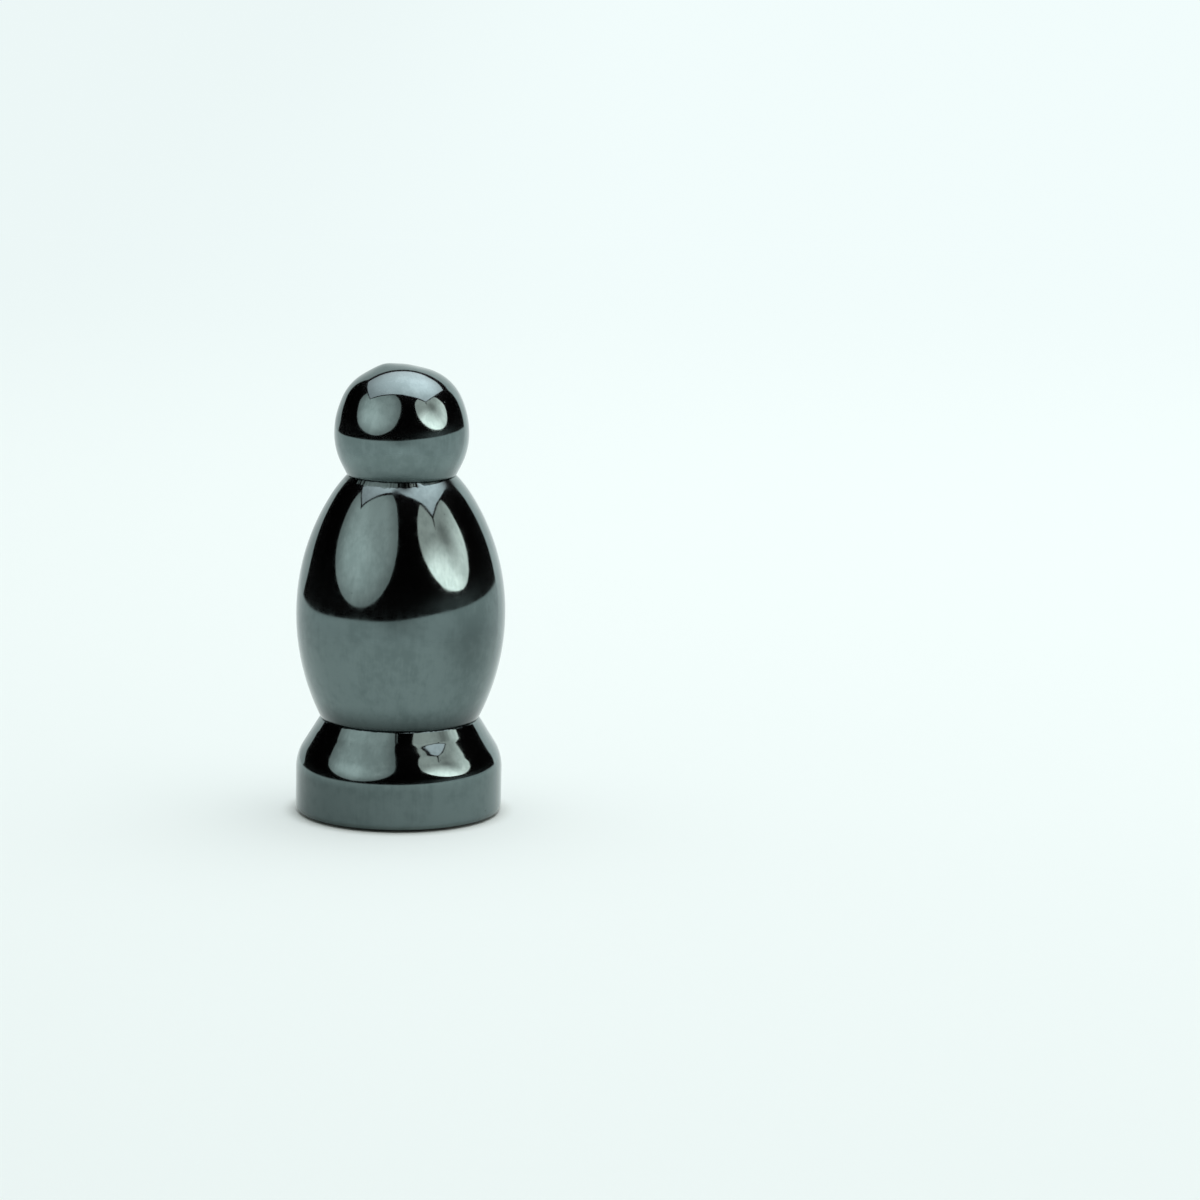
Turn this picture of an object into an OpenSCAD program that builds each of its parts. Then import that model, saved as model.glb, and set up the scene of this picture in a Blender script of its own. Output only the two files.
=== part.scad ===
// Pawn of polished stone for a board game: a ball head on a barrel on a flared foot.
// Three stones, each turned from the rough and ground by hand, stand face to face
// on one hidden steel pin. Millimetres, +Z up, origin on the table under the pin.

/* [Foot] */
// How far the foot's upright wall stands inside the barrel's widest place
foot_step = 0.1; // [-1:0.05:1]
// Height of the foot, from the table to its seat under the barrel
foot_h = 7.25; // [6:0.05:9]
// Height at which the upright wall ends and the round shoulder starts
foot_wall_h = 3.4; // [2:0.05:4]
// How much of the flank is round shoulder, the rest being a straight cone
foot_shoulder_share = 0.66; // [0.4:0.01:0.95]
// How far the rounded lower edge draws in where it meets the table
foot_edge_in = 0.2; // [0.1:0.05:0.5]
// How high the rounded lower edge reaches up the wall
foot_edge_h = 0.7; // [0.5:0.05:1.5]

/* [Barrel] */
// Diameter of the waist, the crease between foot and barrel
waist_d = 11.9; // [9:0.1:14]
// Diameter of the barrel where it is widest, which the foot follows
barrel_d = 15.7; // [15:0.1:18]
// Height of the barrel between its two seats
barrel_h = 18.45; // [15:0.05:24]
// Height of the barrel's widest place above its lower seat
barrel_widest_h = 7.95; // [6:0.05:9]
// How much flatter the side is above that place than one arc up to the neck
barrel_side_share = 1.025; // [1.01:0.005:1.1]
// Radius of the round shoulder under the neck, as a share of that same arc's
barrel_shoulder_share = 0.56; // [0.4:0.01:0.8]

/* [Head] */
// Diameter of the neck, the crease between barrel and head
neck_d = 8; // [6:0.1:9]
// Diameter of the ball head where it is widest
head_d = 10.08; // [9.5:0.02:13]

/* [Pin] */
// Diameter of the steel pin
pin_d = 2; // [1.2:0.1:3.2]
// Adhesive gap round the pin, on the radius
pin_gap = 0.05; // [0.01:0.01:0.15]
// Adhesive gap past each end of the pin
pin_end_gap = 0.3; // [0.1:0.05:0.6]
// Bevel at each end of the pin
pin_bevel = 0.3; // [0.1:0.05:0.5]
// Depth of the blind hole in the foot, from its seat
foot_hole_depth = 4.2; // [2:0.1:4.8]
// Depth of the blind hole in the head, from its seat
head_hole_depth = 4.6; // [2:0.1:5.2]

/* [Seats] */
// Width of the broken edge round each seat, which leaves a hairline at the crease
arris_w = 0.08; // [0.04:0.01:0.2]
// Height of the broken edge round each seat
arris_h = 0.04; // [0.02:0.01:0.1]
// Countersink at the mouth of each pin hole, where spare adhesive gathers
mouth_bevel = 0.25; // [0.1:0.05:0.4]

/* [Hidden] */
$fn = 144;
// Degrees between the points along a round stretch of an outline
arc_step = 3;
stone_colour = "#4a5556";
pin_colour = "silver";

// Heights of the two seats above the table
waist_z = foot_h;
neck_z = foot_h + barrel_h;
barrel_r = barrel_d / 2;
foot_r = barrel_r - foot_step;
waist_r = waist_d / 2;
neck_r = neck_d / 2;
head_r = head_d / 2;
pin_r = pin_d / 2;

// The rounded lower edge is an arc that runs into the wall without a corner
edge_r = (foot_edge_in ^ 2 + foot_edge_h ^ 2) / (2 * foot_edge_in);
edge_c = [foot_r - edge_r, foot_edge_h];

// The largest shoulder that still reaches the waist would leave no cone above it
flank_in = foot_r - waist_r;
flank_h = waist_z - foot_wall_h;
shoulder_r = foot_shoulder_share * (flank_in ^ 2 + flank_h ^ 2) / (2 * flank_in);
shoulder_c = [foot_r - shoulder_r, foot_wall_h];
// The cone is the line from the waist that just touches the shoulder
to_waist = [waist_r, waist_z] - shoulder_c;
shoulder_turn = atan2(to_waist.y, to_waist.x) - acos(shoulder_r / norm(to_waist));

// The barrel is upright where it is widest. One arc runs down from there to the waist
widest_z = waist_z + barrel_widest_h;
waist_in = barrel_r - waist_r;
belly_r = (barrel_widest_h ^ 2 + waist_in ^ 2) / (2 * waist_in);
belly_c = [barrel_r - belly_r, widest_z];
// Above it a flatter side runs into a tighter shoulder, which ends at the neck
neck_in = barrel_r - neck_r;
one_arc_r = ((neck_z - widest_z) ^ 2 + neck_in ^ 2) / (2 * neck_in);
side_r = barrel_side_share * one_arc_r;
side_c = [barrel_r - side_r, widest_z];
shoulder_top_r = barrel_shoulder_share * one_arc_r;
// The shoulder's centre, the side's centre and the neck form a triangle of known sides
to_neck = [neck_r, neck_z] - side_c;
centre_gap = side_r - shoulder_top_r;
side_turn = atan2(to_neck.y, to_neck.x)
    - acos((norm(to_neck) ^ 2 + centre_gap ^ 2 - shoulder_top_r ^ 2)
        / (2 * norm(to_neck) * centre_gap));
shoulder_top_c = side_c + centre_gap * [cos(side_turn), sin(side_turn)];

// The head is a true ball up to its widest height. Above it the hand grinding has
// left it a little full: a flatter side, a tighter shoulder and a flatter crown
head_side_share = 1.32;
head_shoulder_share = 0.75;
head_top_share = 1.04;
head_side_turn = 24;
ball_c = [0, neck_z + sqrt(head_r ^ 2 - neck_r ^ 2)];
head_top = ball_c.y + head_top_share * head_r;
head_side_r = head_side_share * head_r;
head_side_c = ball_c + [head_r - head_side_r, 0];
head_shoulder_r = head_shoulder_share * head_r;
head_shoulder_c = head_side_c
    + (head_side_r - head_shoulder_r) * [cos(head_side_turn), sin(head_side_turn)];
// The crown's arc is centred on the axis and runs into the shoulder's
crown_gap = head_top - head_shoulder_c.y;
crown_r = (head_shoulder_c.x ^ 2 + crown_gap ^ 2 - head_shoulder_r ^ 2)
    / (2 * (crown_gap - head_shoulder_r));
crown_c = [0, head_top - crown_r];
crown_turn = atan2(head_shoulder_c.y - crown_c.y, head_shoulder_c.x);

// The pin stops short of the bottom of both blind holes
hole_r = pin_r + pin_gap;
hole_low = waist_z - foot_hole_depth;
hole_high = neck_z + head_hole_depth;
pin_low = hole_low + pin_end_gap;
pin_high = hole_high - pin_end_gap;

// Points along a round stretch of an outline, between two directions seen from its
// centre, in degrees up from the horizontal
function arc(centre, radius, from, to) =
    let (steps = ceil(abs(to - from) / arc_step))
    [
        for (i = [0:steps])
            let (turn = from + (to - from) * i / steps)
            centre + radius * [cos(turn), sin(turn)]
    ];

// Direction, seen from the centre of an arc, of its point at height z
function turn_at(centre, radius, z) = asin((z - centre.y) / radius);

// A stretch without its first point, where the stretch before it ends there already
function carry_on(points) = [for (i = [1:len(points) - 1]) points[i]];

// The rim of a seat, at the height z, drawn in where its sharp edge is broken
function seat_rim(radius, z) = [radius - arris_w, z];

// A pin hole's mouth at height z. Its countersink runs up (1) or down (-1) from there
function mouth(z, way) = [[hole_r + mouth_bevel, z], [hole_r, z + way * mouth_bevel]];

// Half section of the foot: drawn-in edge, upright wall, round shoulder, straight
// cone, seat and blind pin hole
module foot_section() {
    flank = shoulder_c + shoulder_r * [cos(shoulder_turn), sin(shoulder_turn)];
    flank_left = [waist_r, waist_z] - flank;
    polygon(concat(
        [[0, 0]],
        arc(edge_c, edge_r, turn_at(edge_c, edge_r, 0), 0),
        arc(shoulder_c, shoulder_r, 0, shoulder_turn),
        [[waist_r, waist_z] - flank_left * arris_h / flank_left.y],
        [seat_rim(waist_r, waist_z)],
        mouth(waist_z, -1),
        [[hole_r, hole_low], [0, hole_low]]
    ));
}

// Half section of the barrel, drilled right through: belly, flatter side, shoulder
module barrel_section() {
    low = turn_at(belly_c, belly_r, waist_z + arris_h);
    high = turn_at(shoulder_top_c, shoulder_top_r, neck_z - arris_h);
    polygon(concat(
        [seat_rim(waist_r, waist_z)],
        arc(belly_c, belly_r, low, 0),
        carry_on(arc(side_c, side_r, 0, side_turn)),
        carry_on(arc(shoulder_top_c, shoulder_top_r, side_turn, high)),
        [seat_rim(neck_r, neck_z)],
        mouth(neck_z, -1),
        [for (i = [1, 0]) mouth(waist_z, 1)[i]]
    ));
}

// Half section of the head: seat, ball, flatter side, tighter shoulder, flatter
// crown and blind pin hole
module head_section() {
    low = turn_at(ball_c, head_r, neck_z + arris_h);
    polygon(concat(
        [seat_rim(neck_r, neck_z)],
        arc(ball_c, head_r, low, 0),
        carry_on(arc(head_side_c, head_side_r, 0, head_side_turn)),
        carry_on(arc(head_shoulder_c, head_shoulder_r, head_side_turn, crown_turn)),
        carry_on(arc(crown_c, crown_r, crown_turn, 90)),
        [[0, hole_high], [hole_r, hole_high]],
        [for (i = [1, 0]) mouth(neck_z, 1)[i]]
    ));
}

// Half section of the pin, bevelled at both ends
module pin_section() {
    polygon([
        [0, pin_low],
        [pin_r - pin_bevel, pin_low],
        [pin_r, pin_low + pin_bevel],
        [pin_r, pin_high - pin_bevel],
        [pin_r - pin_bevel, pin_high],
        [0, pin_high],
    ]);
}

// Flared base stone, flat underneath
module foot() {
    color(stone_colour) rotate_extrude() foot_section();
}

// Middle stone
module barrel() {
    color(stone_colour) rotate_extrude() barrel_section();
}

// Top stone, a ball with a flat seat
module head() {
    color(stone_colour) rotate_extrude() head_section();
}

// Steel pin through all three stones
module core_pin() {
    color(pin_colour) rotate_extrude() pin_section();
}

head();
barrel();
foot();
core_pin();
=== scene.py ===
# %% [markdown]
# A pawn of polished dark stone.
#
# The real object is three stones, a ball head, a barrel and a flared foot, ground by
# hand and polished until they mirror the room. The construction comes in as a fixed
# frame. This script gives the stones the skin that hand grinding leaves, a stone
# finish, and a small studio whose lights and dark room the polish can mirror.

# %% Open the frame
import math

import bpy
import numpy as np
from mathutils import Matrix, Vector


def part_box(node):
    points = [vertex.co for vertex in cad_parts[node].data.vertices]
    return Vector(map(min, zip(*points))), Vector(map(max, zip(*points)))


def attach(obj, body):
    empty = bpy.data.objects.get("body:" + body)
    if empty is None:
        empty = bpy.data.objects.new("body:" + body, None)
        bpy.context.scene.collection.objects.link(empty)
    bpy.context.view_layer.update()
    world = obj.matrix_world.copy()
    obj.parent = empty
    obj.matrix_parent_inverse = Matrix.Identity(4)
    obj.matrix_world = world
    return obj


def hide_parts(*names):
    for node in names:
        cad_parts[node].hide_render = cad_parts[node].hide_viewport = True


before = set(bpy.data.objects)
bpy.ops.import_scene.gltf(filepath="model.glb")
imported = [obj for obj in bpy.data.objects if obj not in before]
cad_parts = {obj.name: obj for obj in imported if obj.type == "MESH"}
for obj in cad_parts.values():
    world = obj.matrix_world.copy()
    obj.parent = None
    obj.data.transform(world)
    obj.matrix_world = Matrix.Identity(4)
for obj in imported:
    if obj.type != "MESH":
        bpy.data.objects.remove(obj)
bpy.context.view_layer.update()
MM = 0.001
_, foot_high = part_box("foot")
_, barrel_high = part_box("barrel")
_, head_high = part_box("head")
print("nodes in the frame:", sorted(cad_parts))
print("height of the pawn: %.2f mm" % (head_high.z / MM))

# %% [markdown]
# The camera stands where the photograph was taken: a third of a metre in front and
# a little above, with a long lens that keeps upright things nearly parallel. The
# picture leans by under a degree, so the camera is rolled by the same amount.
# Its three axes are written out as a matrix, which leaves nothing to guess about
# the order of the turns.

# %% Camera
LENS_MM = 135
SENSOR_MM = 36
CAMERA_PLACE = np.array([15.05, -331.8, 79.46]) * MM
CAMERA_PITCH = math.radians(10.773)
CAMERA_ROLL = math.radians(0.8)
NEAREST_SEEN = 0.01


def portrait_camera():
    """Camera looking along (0, cos p, -sin p), rolled about that line by the roll."""
    ahead = np.array([0, math.cos(CAMERA_PITCH), -math.sin(CAMERA_PITCH)])
    level_up = np.array([0, math.sin(CAMERA_PITCH), math.cos(CAMERA_PITCH)])
    level_right = np.array([1, 0, 0])
    right = math.cos(CAMERA_ROLL) * level_right + math.sin(CAMERA_ROLL) * level_up
    up = math.cos(CAMERA_ROLL) * level_up - math.sin(CAMERA_ROLL) * level_right
    data = bpy.data.cameras.new("portrait_camera")
    data.lens = LENS_MM
    data.sensor_width = SENSOR_MM
    data.clip_start = NEAREST_SEEN
    camera = bpy.data.objects.new("portrait_camera", data)
    columns = np.column_stack([right, up, -ahead, CAMERA_PLACE])
    camera.matrix_world = Matrix([*columns.tolist(), [0, 0, 0, 1]])
    bpy.context.scene.collection.objects.link(camera)
    bpy.context.scene.camera = camera


portrait_camera()
bpy.context.scene.view_settings.view_transform = "Standard"
print("camera %.0f mm from the pawn, %d mm lens" % (np.linalg.norm(CAMERA_PLACE) / MM, LENS_MM))

# %% [markdown]
# Every new surface here is a grid of points worked out with numpy: one parameter
# runs along the rows, the other across them. The helpers below turn such a grid into
# a mesh, and give a sheet's points the coordinates that its finish is drawn in.

# %% Grid to mesh
def strip_faces(index):
    """Quads between neighbouring rows and columns of a grid of point numbers."""
    low, high = index[:-1], index[1:]
    return np.stack([low[:, :-1], low[:, 1:], high[:, 1:], high[:, :-1]], -1).reshape(-1, 4)


def new_mesh(name, points, faces):
    """A mesh object from an array of points and a list of faces."""
    mesh = bpy.data.meshes.new(name)
    mesh.from_pydata(points.tolist(), [], faces)
    mesh.update()
    piece = bpy.data.objects.new(name, mesh)
    bpy.context.scene.collection.objects.link(piece)
    return piece


def sheet_mesh(name, grid, turned_over):
    """An open sheet from a grid of points, its faces turned over or not."""
    index = np.arange(grid[..., 0].size).reshape(grid.shape[:2])
    quads = strip_faces(index)[:, ::-1 if turned_over else 1]
    return new_mesh(name, grid.reshape(-1, 3), quads.tolist())


def keep_coordinates(piece, u, v):
    """Store a sheet's two parameters as its UV map."""
    corner = np.zeros(len(piece.data.loops), int)
    piece.data.loops.foreach_get("vertex_index", corner)
    layer = piece.data.uv_layers.new(name="sheet")
    layer.data.foreach_set("uv", np.stack([u.ravel(), v.ravel()], -1)[corner].ravel())


def disc(reach, sides):
    """Rows (s cos a, s sin a) for each reach s, with the angle a all the way round."""
    angle = np.linspace(0, 2 * np.pi, sides + 1)
    return np.outer(reach, np.cos(angle)), np.outer(reach, np.sin(angle))


# %% [markdown]
# A finish in Blender is a net of nodes: numbers, places and colours flow from socket
# to socket until they reach a shader. Adding nodes one by one takes four lines each,
# so the helper below adds one in a line. It links a socket where it is given one,
# and sets a number, a place or a colour on the socket itself.

# %% Node helper
class NodeNet:
    """A node tree with short ways to add nodes and link them."""

    def __init__(self, tree):
        """Take over a tree, emptied."""
        self.nodes, self.links = tree.nodes, tree.links
        self.nodes.clear()

    def feed(self, socket, value):
        """Link a node or a socket to this one, or set a number, place or colour on it."""
        if isinstance(value, bpy.types.Node):
            value = value.outputs[0]
        if isinstance(value, bpy.types.NodeSocket):
            self.links.new(value, socket)
        elif isinstance(value, tuple) and len(value) < len(socket.default_value):
            socket.default_value = (*value, 1)
        else:
            socket.default_value = value

    def add(self, kind, inputs=(), **settings):
        """A ShaderNode of a kind: its settings first, then its inputs by name or number."""
        node = self.nodes.new("ShaderNode" + kind)
        for name, value in settings.items():
            setattr(node, name, value)
        for key, value in dict(inputs).items():
            self.feed(node.inputs[key], value)
        return node

    def show(self, shader, output="OutputMaterial"):
        """Give a shader to the tree's output."""
        self.add(output, {"Surface": shader})

    def parts(self, vector):
        """The x, y and z of a vector."""
        return self.add("SeparateXYZ", {0: vector}).outputs

    def ray(self, kind):
        """1 for light rays of a kind, 0 for others."""
        return self.add("LightPath").outputs["Is %s Ray" % kind]

    def math(self, operation, *values):
        """One Math node on numbers and sockets."""
        return self.add("Math", enumerate(values), operation=operation).outputs[0]

    def times(self, first, *others):
        """Product of numbers and sockets."""
        for other in others:
            first = self.math("MULTIPLY", first, other)
        return first

    def plus(self, first, *others):
        """Sum of numbers and sockets."""
        for other in others:
            first = self.math("ADD", first, other)
        return first

    def bell(self, value, middle, width):
        """exp(-((value - middle) / width)^2)"""
        gap = self.math("DIVIDE", self.math("SUBTRACT", value, middle), width)
        return self.math("EXPONENT", self.times(gap, gap, -1.0))

    def ramp(self, value, start, end, low=0.0, high=1.0):
        """Smooth change from low, where the value is start, to high, where it is end."""
        values = enumerate((value, start, end, low, high))
        return self.add("MapRange", values, interpolation_type="SMOOTHSTEP").outputs[0]

    def mix(self, share, first, second):
        """Two colours mixed: all the first at share 0, all the second at share 1."""
        return self.add("Mix", {0: share, 6: first, 7: second}, data_type="RGBA").outputs[2]

    def noise(self, place, scale, detail):
        """Cloudy noise from 0 to 1."""
        return self.add("TexNoise", {"Vector": place, "Scale": scale, "Detail": detail}).outputs[0]

    def reach(self, place, centre=(0, 0, 0)):
        """Distance of a place from a fixed centre."""
        node = self.add("VectorMath", {0: place, 1: centre}, operation="DISTANCE")
        return node.outputs["Value"]


def new_material(name):
    """An empty node material and its net."""
    material = bpy.data.materials.new(name)
    material.use_nodes = True
    return material, NodeNet(material.node_tree)


# %% [markdown]
# The table is a pale sheet that runs far back without a seam. Close to the pawn it is
# half matt paper, lit by the lamps, so it keeps the soft shadow, and half a glow: a
# painted light that lifts that shadow and fades out right at the foot. Further out it
# glows at the tone of the photograph's background, which hides the horizon. The glow is
# a little brighter towards the right, a painted light there too.
#
# A mirror shows more of a room than the picture does. Past a few centimetres the
# sheet is clear to glossy rays, which then meet the world's own floor: there the
# table ends at a horizon a few degrees down, which shows round each stone.

# %% Table sheet
SHEET_REACH = 3.0
SHEET_COLOUR = (0.754, 0.813, 0.765)
BACKGROUND = (0.87, 0.962, 0.957)
# Painted light: the glow is brighter to the right, and half of it lies over the paper's shadow near the
# pawn
GLOW_ACROSS = (-0.08, 0.03)
GLOW_PAINTED_LIGHT_TONES = (0.968, 1.018)
CONTACT_FADE = (0.0077, 0.0090)
NEAR_PAINTED_LIGHT = 0.5
MATT_FADE = (0.08, 0.40)
MIRROR_FADE = (0.04, 0.07)


def table_sheet():
    """Flat disc round the pawn, at (s cos a, s sin a, 0) for reach s and angle a."""
    x, y = disc(SHEET_REACH * np.linspace(0, 1, 24) ** 2, 96)
    return sheet_mesh("table_sheet", np.stack([x, y, np.zeros_like(x)], -1), True)


def sheet_material():
    """Half matt paper and half painted light near the pawn, a glow further out, clear to glossy rays past
    that.
    """
    material, net = new_material("table_paper")
    place = net.add("TexCoord").outputs["Object"]
    reach = net.reach(place)
    # Painted light: near the pawn half the sheet is glow, which lifts the paper's shadow
    far = net.ramp(reach, *MATT_FADE, NEAR_PAINTED_LIGHT, 1.0)
    off_contact = net.ramp(reach, *CONTACT_FADE)
    # Painted light: the glow is a little brighter towards the right
    across = net.ramp(net.parts(place)["X"], *GLOW_ACROSS, *GLOW_PAINTED_LIGHT_TONES)
    paper = net.add("BsdfDiffuse", {"Color": SHEET_COLOUR})
    glow = net.add("Emission", {"Color": BACKGROUND, "Strength": across})
    seen = net.add("MixShader", {0: net.times(far, off_contact), 1: paper, 2: glow})
    away = net.ramp(reach, *MIRROR_FADE)
    clear = net.add("BsdfTransparent")
    net.show(net.add("MixShader", {0: net.times(away, net.ray("Glossy")), 1: seen, 2: clear}))
    return material


sheet = table_sheet()
sheet.data.materials.append(sheet_material())
print("table sheet: mirrored up to %.0f mm away" % (MIRROR_FADE[1] / MM))

# %% [markdown]
# The room is the world. To the camera it is the pale background. To a mirror it is
# what stood there: an upright white backdrop behind the pawn, and darkness in front,
# at the sides and overhead. The backdrop's outline is worked out from the slopes x/y
# and z/y of the ray. Its left edge flares out near the table and its top edge slopes
# down to the right. Low on the right a little light spills past the umbrella. The
# floor fills everything below the table's horizon, which rises a little to the
# right. It is dimmer in front, just under the horizon, where the dark gap between
# the umbrellas lights it least. Matt things get an even light from the room,
# stronger from behind, so that the shadow falls towards the camera.

# %% World
SCREEN_LEFT = math.tan(math.radians(33))
SCREEN_FLARE = 0.5
FLARE_RISE = 0.22
SCREEN_RIGHT = math.tan(math.radians(42.5))
SCREEN_TOP = 0.81
TOP_SLOPE = -0.15
SCREEN_SOFT = 0.03
SCREEN_TONES = (0.78, 1.15)
ROOM_TONES = (0.35, 0.85)
SPILL = 0.16
SPILL_HALF_TURN = math.radians(28)
SPILL_MIDDLE = math.radians(68)
SPILL_RISE = 0.08
HORIZON = -0.095
HORIZON_TILT = 0.025
HORIZON_RISE = 0.04
HORIZON_SOFT = 0.008
FLOOR_SIDE = 0.92
FLOOR_MIDDLE = 1.04
FLOOR_DIM = 0.42
FLOOR_DIM_DEEP = -0.35
FLOOR_HALF_TURN = math.radians(26)


def backdrop_glow(net, x, y, z):
    """Brightness of the backdrop towards (x, y, z): 0 outside its edges."""
    behind = net.math("MAXIMUM", y, 0.0001)
    sideways = net.math("DIVIDE", x, behind)
    rise = net.math("DIVIDE", z, behind)
    flare = net.times(net.bell(rise, 0.0, FLARE_RISE), SCREEN_FLARE)
    in_left = net.ramp(net.plus(sideways, flare, SCREEN_LEFT), -SCREEN_SOFT, SCREEN_SOFT)
    in_right = net.ramp(sideways, SCREEN_RIGHT + SCREEN_SOFT, SCREEN_RIGHT - SCREEN_SOFT)
    over_top = net.math("SUBTRACT", rise, net.times(sideways, TOP_SLOPE))
    in_top = net.ramp(over_top, SCREEN_TOP + SCREEN_SOFT, SCREEN_TOP - SCREEN_SOFT)
    tone = net.ramp(sideways, -SCREEN_LEFT, SCREEN_RIGHT, *SCREEN_TONES)
    return net.times(in_left, in_right, in_top, tone)


def floor_glow(net, x, z, turn):
    """0 above the horizon z = HORIZON + HORIZON_TILT x + HORIZON_RISE max(x, 0), lit below."""
    rightwards = net.math("MAXIMUM", x, 0.0)
    rise = net.plus(net.times(x, HORIZON_TILT), net.times(rightwards, HORIZON_RISE))
    level = net.math("SUBTRACT", z, rise)
    below = net.ramp(level, HORIZON + HORIZON_SOFT, HORIZON - HORIZON_SOFT)
    between = net.bell(turn, 0.0, FLOOR_HALF_TURN)
    tone = net.plus(net.times(between, FLOOR_MIDDLE - FLOOR_SIDE), FLOOR_SIDE)
    shade = net.ramp(z, FLOOR_DIM_DEEP, HORIZON, 0.0, FLOOR_DIM)
    kept = net.math("SUBTRACT", 1.0, net.times(between, shade))
    return net.times(tone, kept, below)


def room_world():
    """White for the camera, the backdrop and the spill for mirrors, room light for matt."""
    world = bpy.data.worlds.new("room")
    bpy.context.scene.world = world
    world.use_nodes = True
    net = NodeNet(world.node_tree)
    x, y, z = net.parts(net.add("TexCoord").outputs["Generated"])
    turn = net.math("ARCTAN2", x, net.times(y, -1.0))
    screen = backdrop_glow(net, x, y, z)
    across = net.bell(turn, SPILL_MIDDLE, SPILL_HALF_TURN)
    spill = net.times(across, SPILL, net.bell(z, 0.0, SPILL_RISE))
    around = net.math("MAXIMUM", net.plus(screen, spill), floor_glow(net, x, z, turn))
    straight = net.math("MAXIMUM", net.ray("Camera"), net.ray("Transmission"))
    bright = net.math("MAXIMUM", straight, net.times(net.ray("Glossy"), around))
    room = net.ramp(y, -0.5, 0.5, *ROOM_TONES)
    strength = net.math("MAXIMUM", bright, net.times(net.ray("Diffuse"), room))
    net.show(net.add("Background", {"Color": BACKGROUND, "Strength": strength}), "OutputWorld")


room_world()
print("world: white backdrop behind, dark room elsewhere for reflections")

# %% [markdown]
# Two round umbrellas light the pawn, a wide one at the left and a smaller, stronger
# one at the right, with a flat diffusing panel overhead. The polish mirrors all
# three, so their outlines matter more than their wattage: each umbrella is an
# ellipse, because a round cloth stands a little oblique to the pawn, and the panel
# is a rectangle with a thin dark frame. They are glowing surfaces, not lamps,
# because a lamp can't have a dim edge, ribs or a bright place.

# %% Umbrella shapes
HEAD_HEIGHT = 0.03
AIM_HEIGHT = 0.018
UMBRELLA_AWAY = 1.4


def direction(turn, rise):
    """Unit vector: turn in degrees from the front towards the right, rise upwards."""
    a, e = math.radians(turn), math.radians(rise)
    return np.array([math.sin(a) * math.cos(e), -math.cos(a) * math.cos(e), math.sin(e)])


def studio_only(piece):
    """A light is stage: mirrors and matt things see it, the camera doesn't."""
    piece.visible_camera = False
    piece.visible_shadow = False


def umbrella(name, turn, rise, half_width, half_height, tilt, flats=()):
    """Ellipse (w u, h v), tilted, square to the line from the pawn, pulled in at flats."""
    middle = direction(turn, rise)
    across = direction(turn + 90, 0)
    above = np.cross(middle, across)
    u, v = disc(np.linspace(0, 1, 14), 72)
    around = np.degrees(np.arctan2(v, u))
    drawn = np.ones_like(u)
    for place, width, depth in flats:
        drawn -= depth * np.exp(-(((around - place + 180) % 360 - 180) / width) ** 2)
    wide, high = half_width * u * drawn, half_height * v * drawn
    t = math.radians(tilt)
    side = wide * math.cos(t) - high * math.sin(t)
    lift = wide * math.sin(t) + high * math.cos(t)
    centre = UMBRELLA_AWAY * middle + np.array([0, 0, AIM_HEIGHT])
    grid = centre + UMBRELLA_AWAY * (side[..., None] * across + lift[..., None] * above)
    piece = sheet_mesh(name, grid, False)
    keep_coordinates(piece, u, v)
    studio_only(piece)
    return piece


left_umbrella = umbrella("left_umbrella", turn=-49.3, rise=34.5, half_width=0.832,
                         half_height=0.684, tilt=-13.5)
right_umbrella = umbrella("right_umbrella", turn=64.0, rise=30.05, half_width=0.584,
                          half_height=0.438, tilt=-28.5, flats=((48, 15, 0.05), (302, 22, 0.05)))
print("umbrellas: left and right, %.0f mm away" % (UMBRELLA_AWAY / MM))

# %% [markdown]
# The umbrella cloth glows most where the flash behind it is near. Eight ribs show
# as faint streaks that meet in the middle. The tones are set on the cloth's own
# disc coordinates, from -1 to 1, so they stay put when the umbrella is moved. The
# left one fades towards its rim. The right one is bright in its lower half and down
# its right side, with a grey smudge in the middle, where the shaft stands.

# %% Umbrella cloth
RIM_FADE = (0.5, 1.05)
SIDE_FADE = (0.1, 0.85)
SMUDGE_PLACE = (0, 0.15, 0)
SMUDGE_REACH = 0.4
RIBS = 8.0
RIB_SHARPNESS = 6.0
UMBRELLA_MATT = 0.30
LEFT_LOOK = {
    "tone": 1.02, "rim_tone": 0.62, "side_gain": 0.0, "rib": 0.05,
    "hot_place": (-0.1, -0.4, 0), "hot_core": 0.0, "hot_reach": 0.9, "hot_tone": 0.6, "smudge": 0.0,
}
RIGHT_LOOK = {
    "tone": 1.2, "rim_tone": 1.2, "side_gain": 1.6, "rib": 0.08,
    "hot_place": (0, -1.15, 0), "hot_core": 0.4, "hot_reach": 1.2, "hot_tone": 3.3, "smudge": 0.4,
}


def show_glow(net, colour, strength, matt_share):
    """Output a glow: all of its strength to mirrors, a share of it to matt things."""
    share = net.math("MAXIMUM", net.ray("Glossy"), matt_share)
    net.show(net.add("Emission", {"Color": colour, "Strength": net.times(strength, share)}))


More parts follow.
